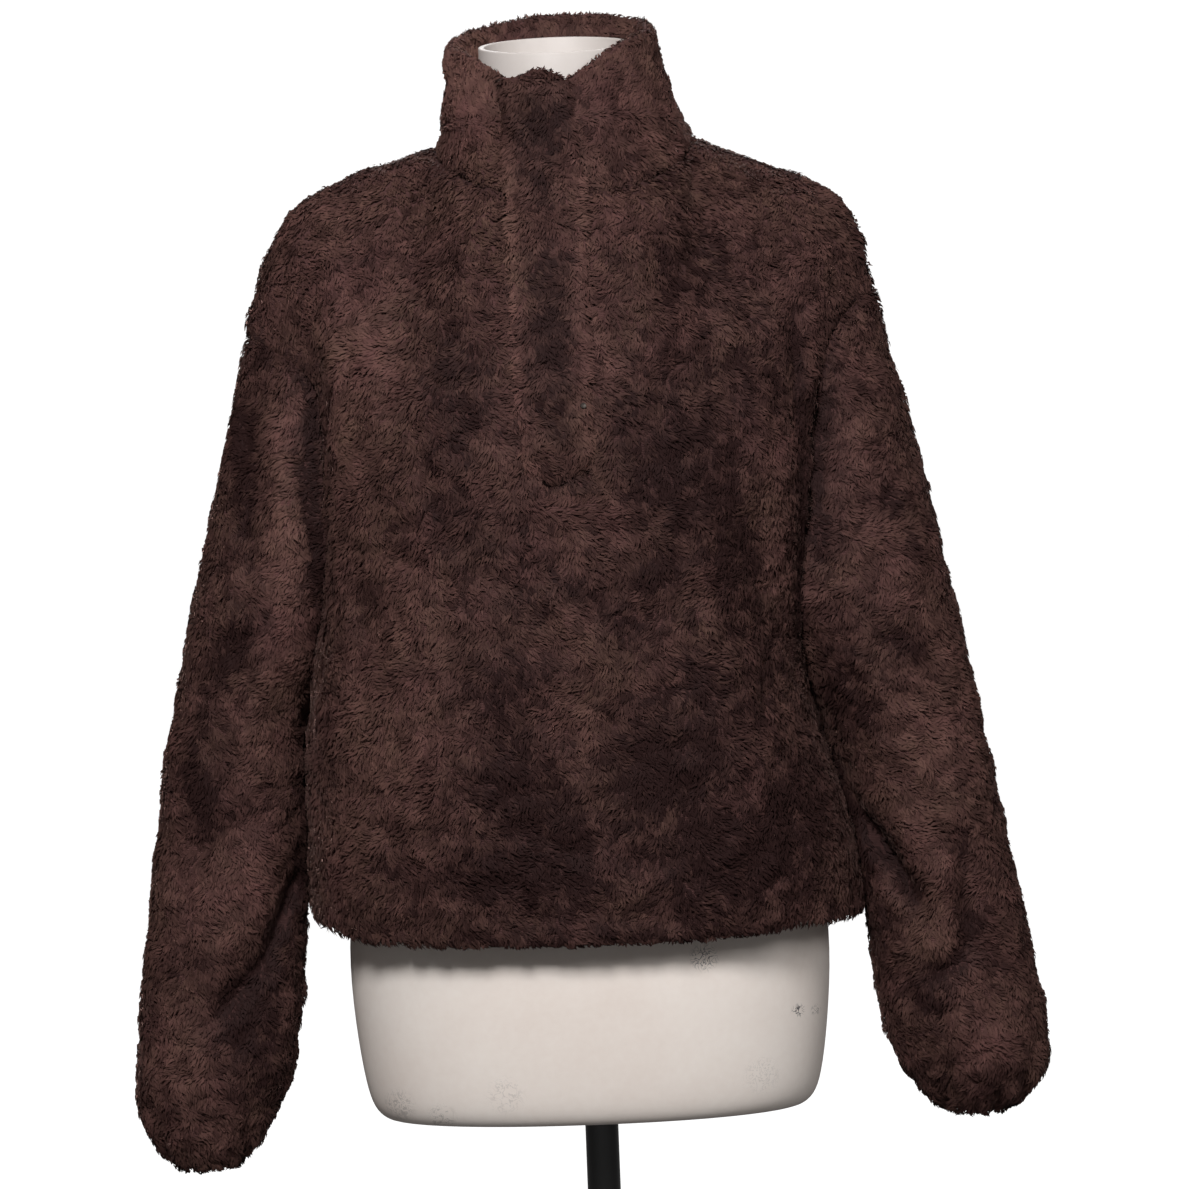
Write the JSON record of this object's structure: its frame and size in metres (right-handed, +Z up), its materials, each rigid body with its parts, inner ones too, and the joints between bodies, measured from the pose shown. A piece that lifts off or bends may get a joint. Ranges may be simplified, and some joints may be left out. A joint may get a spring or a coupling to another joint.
{
  "type": "fleece pullover on dress form",
  "caption": "Dark brown teddy fleece pullover with a stand collar, raised half placket and long gathered sleeves, worn by a cream limbless dress form on a pole stand.",
  "frame": {"origin": "centre of the underside of the stand's base, on the floor", "axes": "+Z up, -Y the front of the pullover, +X the wearer's left"},
  "size_m": [0.689, 0.3021, 1.1106],
  "materials": {
    "fleece": "deep teddy pile",
    "form": "smooth matte",
    "stand": "black gloss"
  },
  "bodies": {
    "root": {"front": "fleece", "back": "fleece", "sleeve_left": "fleece", "sleeve_right": "fleece", "collar": "fleece", "placket": "fleece", "form_torso": "form", "form_neck": "form", "stand_base": "stand", "stand_pole": "stand"}
  },
  "joints": []
}
